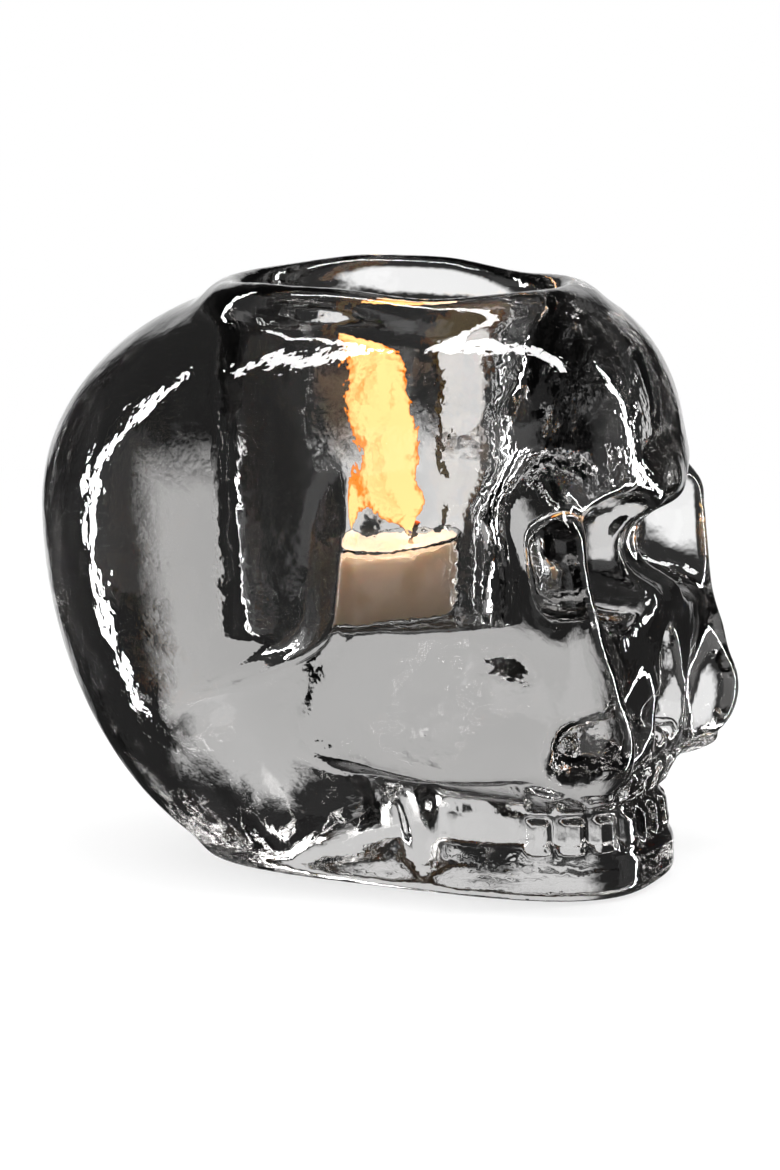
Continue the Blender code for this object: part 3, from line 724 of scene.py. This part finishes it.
def waxed_cotton(wax_top, tip):
    """Cotton yarn soaked in wax: cream below, charred black above the wax, with a red ember at the tip."""
    made, tree, output = new_material("waxed_cotton_wick")
    place = own_points(tree)
    fibres = add_node(tree, "ShaderNodeTexNoise", {
        "Vector": place, "Scale": 1.0 / FIBRE_SIZE, "Detail": 2.0})
    height = add_node(tree, "ShaderNodeSeparateXYZ", {"Vector": place}).outputs["Z"]
    share = add_node(tree, "ShaderNodeMapRange", {"Value": height, "From Min": wax_top, "From Max": tip})
    tint = add_node(tree, "ShaderNodeValToRGB", {"Fac": share.outputs["Result"]})
    set_stops(tint, [(0.0, linear("CDBF9F")), (0.25, linear("3A2E22")), (0.5, linear("14110F"))])
    ember = add_node(tree, "ShaderNodeMapRange", {
        "Value": share.outputs["Result"], "From Min": EMBER_FROM, "From Max": 1.0,
        "To Min": 0.0, "To Max": EMBER_GLOW})
    bump = add_node(tree, "ShaderNodeBump", {
        "Strength": 1.0, "Distance": FIBRE_DEPTH, "Height": fibres.outputs["Fac"]})
    shader = add_node(tree, "ShaderNodeBsdfPrincipled", {
        "Base Color": tint.outputs["Color"], "Roughness": COTTON_ROUGHNESS, "Normal": bump.outputs["Normal"],
        "Emission Color": linear("FF5A14"), "Emission Strength": ember.outputs["Result"]})
    tree.links.new(shader.outputs[0], output.inputs["Surface"])
    return made


def burning_gas(foot, height, strength):
    """A candle flame: blue and clear at the foot, orange to yellow-white above, soft at its edges."""
    made, tree, output = new_material("candle_flame")
    place = own_points(tree)
    rise = add_node(tree, "ShaderNodeSeparateXYZ", {"Vector": place}).outputs["Z"]
    share = add_node(tree, "ShaderNodeMapRange", {
        "Value": rise, "From Min": foot, "From Max": foot + height})
    tint = add_node(tree, "ShaderNodeValToRGB", {"Fac": share.outputs["Result"]})
    set_stops(tint, [(0.0, linear("3A3A6A")), (0.08, linear("9A4414")), (0.22, linear("E8801E")),
                     (0.85, linear("E87A1C")), (1.0, linear("C85408"))])
    edge = add_node(tree, "ShaderNodeLayerWeight", {"Blend": FLAME_EDGE})
    licks = add_node(tree, "ShaderNodeTexNoise", {
        "Vector": place, "Scale": 1.0 / LICK_SIZE, "Detail": 2.0, "Distortion": 0.6})
    core = add_node(tree, "ShaderNodeMath", {
        0: licks.outputs["Fac"], 1: edge.outputs["Facing"]}, operation="SUBTRACT")
    heat = eased(tree, core.outputs[0], 0.0, FLAME_HOT)
    hot = add_node(tree, "ShaderNodeMix", {
        "Factor": heat, 6: tint.outputs["Color"], 7: linear("FFD98C")}, data_type="RGBA")
    body = add_node(tree, "ShaderNodeMapRange", {
        "Value": edge.outputs["Facing"], "From Min": FLAME_EDGE, "From Max": 1.0,
        "To Min": FLAME_MIDDLE_SOLID, "To Max": FLAME_EDGE_SOLID})
    shader = add_node(tree, "ShaderNodeBsdfPrincipled", {
        "Base Color": linear("000000"), "Roughness": 1.0, "Specular IOR Level": 0.0,
        "Emission Color": hot.outputs[2], "Emission Strength": strength,
        "Alpha": body.outputs["Result"]})
    tree.links.new(shader.outputs[0], output.inputs["Surface"])
    return made


def shown(name, mesh, finish, stands_for=()):
    """A finished piece at the origin, smooth, on its body."""
    if not mesh.polygons:
        raise RuntimeError(f"{name} has no faces")
    mesh.name = name
    mesh.materials.clear()
    mesh.materials.append(finish)
    piece = bpy.data.objects.new(name, mesh)
    bpy.context.scene.collection.objects.link(piece)
    if stands_for:
        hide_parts(*stands_for)
    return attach(piece, BODY)


def corner(radius, height, rounding):
    """Points of a quarter circle up from the bottom of a corner at that radius and height."""
    turns = np.radians(np.linspace(-90.0, 0.0, CORNER_POINTS))
    centre = (radius - rounding, height + rounding)
    return [(centre[0] + rounding * math.cos(t), centre[1] + rounding * math.sin(t)) for t in turns]


def turned(profile, closed):
    """A round mesh: the profile turned once about the Z axis, shut where it meets the axis."""
    form = bmesh.new()
    points = [form.verts.new((radius, 0.0, height)) for radius, height in profile]
    edges = [form.edges.new(pair) for pair in zip(points, points[1:])]
    if closed:
        edges.append(form.edges.new((points[-1], points[0])))
    bmesh.ops.spin(form, geom=points + edges, cent=(0.0, 0.0, 0.0), axis=(0.0, 0.0, 1.0),
                   angle=2.0 * math.pi, steps=TURN_STEPS, use_merge=True)
    bmesh.ops.remove_doubles(form, verts=form.verts, dist=DOUBLE_DISTANCE)
    bmesh.ops.recalc_face_normals(form, faces=form.faces)
    mesh = bpy.data.meshes.new("turned")
    form.to_mesh(mesh)
    form.free()
    mesh.shade_smooth()
    mesh.set_sharp_from_angle(angle=SHARP_ANGLE)
    return mesh


def even_cells(node, cell):
    """The node's mesh with its doubles merged, remeshed in even cells of that size."""
    form = bmesh.new()
    form.from_mesh(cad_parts[node].data)
    bmesh.ops.remove_doubles(form, verts=form.verts, dist=DOUBLE_DISTANCE)
    mesh = bpy.data.meshes.new("even")
    form.to_mesh(mesh)
    form.free()
    holder = bpy.data.objects.new("even", mesh)
    bpy.context.scene.collection.objects.link(holder)
    remesh = holder.modifiers.new("cells", "REMESH")
    remesh.mode = "VOXEL"
    remesh.voxel_size = cell
    made = bpy.data.meshes.new_from_object(holder.evaluated_get(bpy.context.evaluated_depsgraph_get()))
    bpy.data.objects.remove(holder)
    return made


def settled(mesh):
    """The mesh with each point on the glass's true surface, and the surface's own normals."""
    points = np.zeros(len(mesh.vertices) * 3)
    mesh.vertices.foreach_get("co", points)
    points = points.reshape(-1, 3)
    quads = np.array([face.vertices[:] for face in mesh.polygons])
    for _ in range(REST_STEPS):
        points = onto_glass(evened(points, quads))
    for _ in range(LAST_STEPS):
        points = onto_glass(points)
    mesh.vertices.foreach_set("co", points.ravel())
    mesh.update()
    mesh.shade_smooth()
    mesh.normals_split_custom_set_from_vertices(slope_at(points))
    return mesh


class OBJECT_OT_press_glass(bpy.types.Operator):
    """Presses the glass skull"""

    bl_idname = "object.press_glass"
    bl_label = "Glass skull"

    def execute(self, context):
        settings = context.scene.glass_settings
        mesh = settled(even_cells("skull_glass", settings.cell))
        shown("pressed_glass_skull", mesh, smoked_glass(settings), ["skull_glass"])
        return {"FINISHED"}


class OBJECT_OT_mould_cup(bpy.types.Operator):
    """Moulds the clear cup of the candle"""

    bl_idname = "object.mould_cup"
    bl_label = "Clear cup"

    def execute(self, context):
        rim = CUP_FOOT + CUP_HEIGHT
        floor = CUP_FOOT + CUP_WALL
        side = CUP_RADIUS - RIM_ROLL
        profile = [(0.0, floor), *corner(side - CUP_WALL, floor, CUP_ROUNDING - CUP_WALL / 2.0)]
        profile += [(side - CUP_WALL, rim - RIM_ROLL / 2.0), (side - CUP_WALL + RIM_ROLL / 2.0, rim)]
        profile += [(CUP_RADIUS - RIM_ROLL / 2.0, rim), (CUP_RADIUS, rim - RIM_ROLL / 2.0)]
        profile += [(CUP_RADIUS, rim - RIM_ROLL * 2.0), (side, rim - RIM_ROLL * 3.0)]
        profile += reversed(corner(side, CUP_FOOT, CUP_ROUNDING))
        profile.append((0.0, CUP_FOOT))
        shown("clear_candle_cup", turned(profile, False), clear_cup(), ["candle_cup"])
        return {"FINISHED"}


class OBJECT_OT_pour_wax(bpy.types.Operator):
    """Pours the wax with the pool that the flame melts"""

    bl_idname = "object.pour_wax"
    bl_label = "Wax"

    def execute(self, context):
        side = CUP_RADIUS - RIM_ROLL - CUP_WALL - SEAT_GAP
        bore = WICK_RADIUS + SEAT_GAP
        neck = bore + NECK_WALL + SEAT_GAP
        plate_top = WAX_BOTTOM + HOLDER_THICKNESS + SEAT_GAP
        neck_top = WAX_BOTTOM + NECK_HEIGHT + SEAT_GAP
        pool = WAX_TOP - WAX_POOL_DEPTH
        profile = [
            (bore, pool + WAX_MENISCUS), (bore + WAX_MENISCUS, pool + WAX_MENISCUS / 4.0),
            (bore + 3.0 * WAX_MENISCUS, pool), (WAX_POOL_RADIUS * POOL_FLAT, pool),
            (WAX_POOL_RADIUS, pool + WAX_POOL_DEPTH / 4.0), (WAX_POOL_RADIUS * POOL_EDGE, WAX_TOP),
            (side - 2.0 * WAX_MENISCUS, WAX_TOP), (side - WAX_MENISCUS / 2.0, WAX_TOP + WAX_MENISCUS / 3.0),
            (side, WAX_TOP + WAX_MENISCUS),
            *reversed(corner(side, WAX_BOTTOM, CUP_ROUNDING - CUP_WALL / 2.0)),
            (HOLDER_RADIUS + SEAT_GAP, WAX_BOTTOM), (HOLDER_RADIUS + SEAT_GAP, plate_top),
            (neck, plate_top), (neck, neck_top), (bore, neck_top),
        ]
        colour = context.scene.candle_settings.wax_colour
        shown("paraffin_wax", turned(profile, True), paraffin(colour, WAX_TOP), ["candle_wax"])
        return {"FINISHED"}


class OBJECT_OT_twist_wick(bpy.types.Operator):
    """Twists the cotton wick and finishes its stamped holder"""

    bl_idname = "object.twist_wick"
    bl_label = "Wick and holder"

    def execute(self, context):
        finish = tinned_steel()
        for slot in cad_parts["wick_holder"].material_slots:
            slot.material = finish
        straight = WAX_TOP - WAX_BOTTOM
        tip = WAX_TOP + WICK_ABOVE_WAX
        strands = self.strands_outline()
        curve = bpy.data.curves.new("wick_path", "CURVE")
        curve.dimensions = "3D"
        curve.bevel_mode = "OBJECT"
        curve.bevel_object = strands
        curve.use_fill_caps = True
        spline = curve.splines.new("POLY")
        spline.points.add(WICK_POINTS - 1)
        for index, point in enumerate(spline.points):
            rise = index / (WICK_POINTS - 1) * (straight + WICK_ABOVE_WAX)
            beyond = max(0.0, rise - straight) / WICK_ABOVE_WAX
            point.co = (0.0, -WICK_BEND * beyond**2, WAX_BOTTOM + rise, 1.0)
            point.tilt = index * WICK_STRAND_TURN
        holder = bpy.data.objects.new("wick_path", curve)
        context.scene.collection.objects.link(holder)
        mesh = bpy.data.meshes.new_from_object(holder.evaluated_get(context.evaluated_depsgraph_get()))
        bpy.data.objects.remove(holder)
        bpy.data.objects.remove(strands)
        form = bmesh.new()
        form.from_mesh(mesh)
        bmesh.ops.remove_doubles(form, verts=form.verts, dist=DOUBLE_DISTANCE)
        bmesh.ops.recalc_face_normals(form, faces=form.faces)
        form.to_mesh(mesh)
        form.free()
        mesh.shade_smooth()
        shown("twisted_wick", mesh, waxed_cotton(WAX_TOP, tip), ["wick"])
        return {"FINISHED"}

    def strands_outline(self):
        """A closed curve round the strands, as wide as the wick."""
        outline = bpy.data.curves.new("strands", "CURVE")
        outline.dimensions = "2D"
        outline.fill_mode = "NONE"
        spline = outline.splines.new("POLY")
        spline.points.add(WICK_ROUND_POINTS - 1)
        spline.use_cyclic_u = True
        for index, point in enumerate(spline.points):
            turn = 2.0 * math.pi * index / WICK_ROUND_POINTS
            radius = WICK_RADIUS * (1.0 - WICK_LOBE * (1.0 - abs(math.cos(WICK_STRANDS / 2.0 * turn))))
            point.co = (radius * math.cos(turn), radius * math.sin(turn), 0.0, 1.0)
        strands = bpy.data.objects.new("strands", outline)
        bpy.context.scene.collection.objects.link(strands)
        return strands


class OBJECT_OT_light_flame(bpy.types.Operator):
    """Lights the candle"""

    bl_idname = "object.light_flame"
    bl_label = "Flame"

    def execute(self, context):
        settings = context.scene.candle_settings
        foot = WAX_TOP + WICK_ABOVE_WAX - FLAME_BELOW_TIP
        half = settings.flame_width / 2.0
        profile = [(half * wide, foot + settings.flame_height * up) for up, wide in FLAME_PROFILE]
        profile.insert(0, (0.0, foot))
        mesh = turned(profile, False)
        for vertex in mesh.vertices:
            share = (vertex.co.z - foot) / settings.flame_height
            vertex.co.x *= FLAME_FLATNESS
            vertex.co.y += FLAME_SWAY * math.sin(math.pi * FLAME_BENDS * share) + FLAME_LEAN * share
        finish = burning_gas(foot, settings.flame_height, settings.flame_strength)
        shown("candle_flame", mesh, finish)
        data = bpy.data.lights.new("flame_light", "POINT")
        data.energy = FLAME_LIGHT
        data.color = linear("FFB066")[:3]
        data.shadow_soft_size = half / 2.0
        lamp = bpy.data.objects.new("flame_light", data)
        lamp.location = (0.0, 0.0, foot + settings.flame_height * FLAME_LIGHT_UP)
        lamp.visible_camera = lamp.visible_glossy = lamp.visible_transmission = False
        context.scene.collection.objects.link(lamp)
        return {"FINISHED"}


class OBJECT_OT_set_stage(bpy.types.Operator):
    """Sets the floor, the lamps, the camera and the light from all round"""

    bl_idname = "object.set_stage"
    bl_label = "Stage"

    def execute(self, context):
        settings = context.scene.stage_settings
        self.lay_floor(context)
        self.set_world(context, settings)
        self.set_camera(context)
        for sign in (-1.0, 1.0):
            turn = CAMERA_AZIMUTH + sign * STRIP_ANGLE
            place = Vector((math.sin(turn) * STRIP_DISTANCE, -math.cos(turn) * STRIP_DISTANCE, STRIP_HEIGHT))
            aim = Vector((0.0, 0.0, STRIP_HEIGHT))
            face = (aim - place).to_track_quat("-Z", "Y").to_euler()
            self.hang_lamp(context, "strip_lamp", place, face, STRIP_SIZE, settings.strip_power)
        reach = TOP_DISTANCE * math.cos(TOP_ELEVATION)
        place = Vector((math.sin(CAMERA_AZIMUTH) * reach, -math.cos(CAMERA_AZIMUTH) * reach,
                        TOP_DISTANCE * math.sin(TOP_ELEVATION)))
        face = (math.pi / 2.0 - TOP_ELEVATION, 0.0, CAMERA_AZIMUTH)
        self.hang_lamp(context, "top_lamp", place, face, TOP_SIZE, settings.top_power)
        context.scene.view_settings.view_transform = "Standard"
        return {"FINISHED"}

    def hang_lamp(self, context, name, place, face, size, power):
        """A rectangular lamp at the place, turned by those angles, and out of the camera's sight."""
        data = bpy.data.lights.new(name, "AREA")
        data.shape = "RECTANGLE"
        data.size, data.size_y = size
        data.energy = power
        lamp = bpy.data.objects.new(name, data)
        lamp.location = place
        lamp.rotation_euler = face
        lamp.visible_camera = False
        context.scene.collection.objects.link(lamp)

    def lay_floor(self, context):
        """A wide pale disc just under the foot."""
        form = bmesh.new()
        bmesh.ops.create_circle(form, cap_ends=True, segments=TURN_STEPS, radius=FLOOR_RADIUS,
                                matrix=Matrix.Translation((0.0, 0.0, -FLOOR_DROP)))
        mesh = bpy.data.meshes.new("floor")
        form.to_mesh(mesh)
        form.free()
        made, tree, output = new_material("pale_floor")
        rays = add_node(tree, "ShaderNodeLightPath")
        bent = add_node(tree, "ShaderNodeMath", {
            0: rays.outputs["Is Glossy Ray"], 1: rays.outputs["Is Transmission Ray"]}, operation="MAXIMUM")
        away = add_node(tree, "ShaderNodeVectorMath", {0: own_points(tree)}, operation="LENGTH")
        white = eased(tree, away.outputs["Value"], FLOOR_NEAR, FLOOR_FAR, FLOOR_WHITE)
        share = add_node(tree, "ShaderNodeMath", {
            0: white, 1: rays.outputs["Is Camera Ray"]}, operation="MULTIPLY")
        paint = add_node(tree, "ShaderNodeBsdfDiffuse", {"Color": linear("F2F2F2")})
        glow = add_node(tree, "ShaderNodeEmission", {"Color": linear("FFFFFF"), "Strength": 1.0})
        both = add_node(tree, "ShaderNodeMixShader", {
            "Fac": share.outputs[0], 1: paint.outputs[0], 2: glow.outputs[0]})
        clear = add_node(tree, "ShaderNodeBsdfTransparent")
        through = add_node(tree, "ShaderNodeMixShader", {
            "Fac": bent.outputs[0], 1: both.outputs[0], 2: clear.outputs[0]})
        tree.links.new(through.outputs[0], output.inputs["Surface"])
        mesh.materials.append(made)
        floor = bpy.data.objects.new("floor", mesh)
        context.scene.collection.objects.link(floor)

    def set_world(self, context, settings):
        """White to the camera; for the glass, panels round the object with dark gaps between them."""
        world = bpy.data.worlds.new("studio")
        context.scene.world = world
        world.use_nodes = True
        tree = world.node_tree
        tree.nodes.clear()
        rays = add_node(tree, "ShaderNodeLightPath")
        toward = add_node(tree, "ShaderNodeTexCoord").outputs["Generated"]
        turned_to = add_node(tree, "ShaderNodeVectorRotate", {
            "Vector": toward, "Axis": (0.0, 0.0, 1.0), "Angle": -CAMERA_AZIMUTH})
        parts = add_node(tree, "ShaderNodeSeparateXYZ", {"Vector": turned_to.outputs["Vector"]})
        across = add_node(tree, "ShaderNodeMath", {0: parts.outputs["X"]}, operation="ABSOLUTE")
        along = add_node(tree, "ShaderNodeMath", {0: parts.outputs["Y"]}, operation="ABSOLUTE")
        up = parts.outputs["Z"]
        panel = eased(tree, across.outputs[0], PANEL_HALF, PANEL_HALF + PANEL_SOFT, 1.0, GAP_LEVEL)
        side = eased(tree, along.outputs[0], SIDE_HALF, SIDE_HALF + PANEL_SOFT, SIDE_LEVEL, GAP_LEVEL)
        upper = eased(tree, up, PANEL_TOP, PANEL_TOP + PANEL_SOFT, 1.0, GAP_LEVEL)
        lower = eased(tree, up, PANEL_BOTTOM - PANEL_SOFT, PANEL_BOTTOM, GAP_LEVEL)
        table = eased(tree, up, TABLE_FROM, TABLE_FROM + PANEL_SOFT, TABLE_LEVEL, GAP_LEVEL)
        height = add_node(tree, "ShaderNodeMath", {0: lower, 1: upper}, operation="MINIMUM")
        panels = add_node(tree, "ShaderNodeMath", {0: panel, 1: side}, operation="MAXIMUM")
        walls = add_node(tree, "ShaderNodeMath", {
            0: panels.outputs[0], 1: height.outputs[0]}, operation="MINIMUM")
        glassy = add_node(tree, "ShaderNodeMath", {0: walls.outputs[0], 1: table}, operation="MAXIMUM")
        bent = add_node(tree, "ShaderNodeMath", {
            0: rays.outputs["Is Glossy Ray"], 1: rays.outputs["Is Transmission Ray"]}, operation="MAXIMUM")
        lit = add_node(tree, "ShaderNodeMix", {
            "Factor": bent.outputs[0], "A": settings.fill, "B": glassy.outputs[0]})
        level = add_node(tree, "ShaderNodeMix", {
            "Factor": rays.outputs["Is Camera Ray"], "A": lit.outputs[0], "B": 1.0})
        sky = add_node(tree, "ShaderNodeBackground", {
            "Color": linear("FFFFFF"), "Strength": level.outputs[0]})
        output = add_node(tree, "ShaderNodeOutputWorld")
        tree.links.new(sky.outputs[0], output.inputs["Surface"])

    def set_camera(self, context):
        """The photograph's view."""
        data = bpy.data.cameras.new("camera")
        data.sensor_width = SENSOR
        data.lens = LENS
        data.shift_x, data.shift_y = CAMERA_SHIFT
        data.clip_start, data.clip_end = NEAREST, FARTHEST
        back = Vector((math.sin(CAMERA_AZIMUTH) * math.cos(CAMERA_ELEVATION),
                       -math.cos(CAMERA_AZIMUTH) * math.cos(CAMERA_ELEVATION),
                       math.sin(CAMERA_ELEVATION)))
        camera = bpy.data.objects.new("camera", data)
        camera.location = Vector(CAMERA_TARGET) + back * CAMERA_DISTANCE
        camera.rotation_euler = (-back).to_track_quat("-Z", "Y").to_euler()
        context.scene.collection.objects.link(camera)
        context.scene.camera = camera


class VIEW3D_PT_candle_holder(bpy.types.Panel):
    """Lists the steps that dress the candle holder."""

    bl_label = "Candle Holder"
    bl_idname = "VIEW3D_PT_candle_holder"
    bl_space_type = "VIEW_3D"
    bl_region_type = "UI"
    bl_category = "Candle Holder"

    def draw(self, context):
        for group in (context.scene.glass_settings, context.scene.candle_settings,
                      context.scene.stage_settings):
            box = self.layout.box()
            for name in group.__annotations__:
                box.prop(group, name)
        for operator in OPERATORS:
            self.layout.operator(operator.bl_idname)


SETTINGS = {"glass_settings": GlassSettings, "candle_settings": CandleSettings,
            "stage_settings": StageSettings}
OPERATORS = (OBJECT_OT_press_glass, OBJECT_OT_mould_cup, OBJECT_OT_pour_wax, OBJECT_OT_twist_wick,
             OBJECT_OT_light_flame, OBJECT_OT_set_stage)


def register():
    for kind in (*SETTINGS.values(), *OPERATORS, VIEW3D_PT_candle_holder):
        bpy.utils.register_class(kind)
    for name, kind in SETTINGS.items():
        setattr(bpy.types.Scene, name, bpy.props.PointerProperty(type=kind))


def unregister():
    for name in SETTINGS:
        delattr(bpy.types.Scene, name)
    for kind in reversed((*SETTINGS.values(), *OPERATORS, VIEW3D_PT_candle_holder)):
        bpy.utils.unregister_class(kind)


def main():
    register()
    bpy.ops.object.press_glass()
    bpy.ops.object.mould_cup()
    bpy.ops.object.pour_wax()
    bpy.ops.object.twist_wick()
    bpy.ops.object.light_flame()
    bpy.ops.object.set_stage()


if __name__ == "__main__":
    main()
